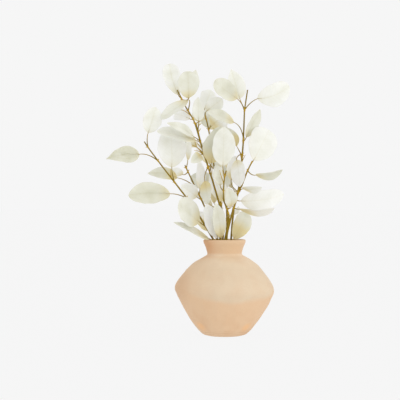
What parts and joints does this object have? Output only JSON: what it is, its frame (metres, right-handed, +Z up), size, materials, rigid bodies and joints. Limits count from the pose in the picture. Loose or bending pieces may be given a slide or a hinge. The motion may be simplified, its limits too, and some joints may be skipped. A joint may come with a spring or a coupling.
{
  "type": "vase of bleached eucalyptus",
  "caption": "Matte clay vase with a wide belly, a drawn-in neck and a flared mouth, holding a loose bunch of bleached eucalyptus stems with pale rounded leaves.",
  "frame": {"origin": "middle of the vase's foot, on the surface that it stands on", "axes": "+Z up along the vase's axis, -Y towards the viewer of the picture, +X to that viewer's right"},
  "size_m": [0.332, 0.2829, 0.4969],
  "materials": {
    "clay": "matte, unglazed, slightly uneven",
    "bleached_leaf": "matte, dry, thin",
    "twig": "matte, dry bark"
  },
  "bodies": {
    "root": {"vase": "clay", "stem_left_low": "bleached_leaf", "stem_left_inner": "bleached_leaf", "stem_left_tall": "bleached_leaf", "stem_centre": "bleached_leaf", "stem_front": "bleached_leaf", "stem_right_tall": "bleached_leaf", "stem_back_left": "bleached_leaf", "stem_back_centre": "bleached_leaf", "stem_back_right": "bleached_leaf"}
  },
  "joints": []
}
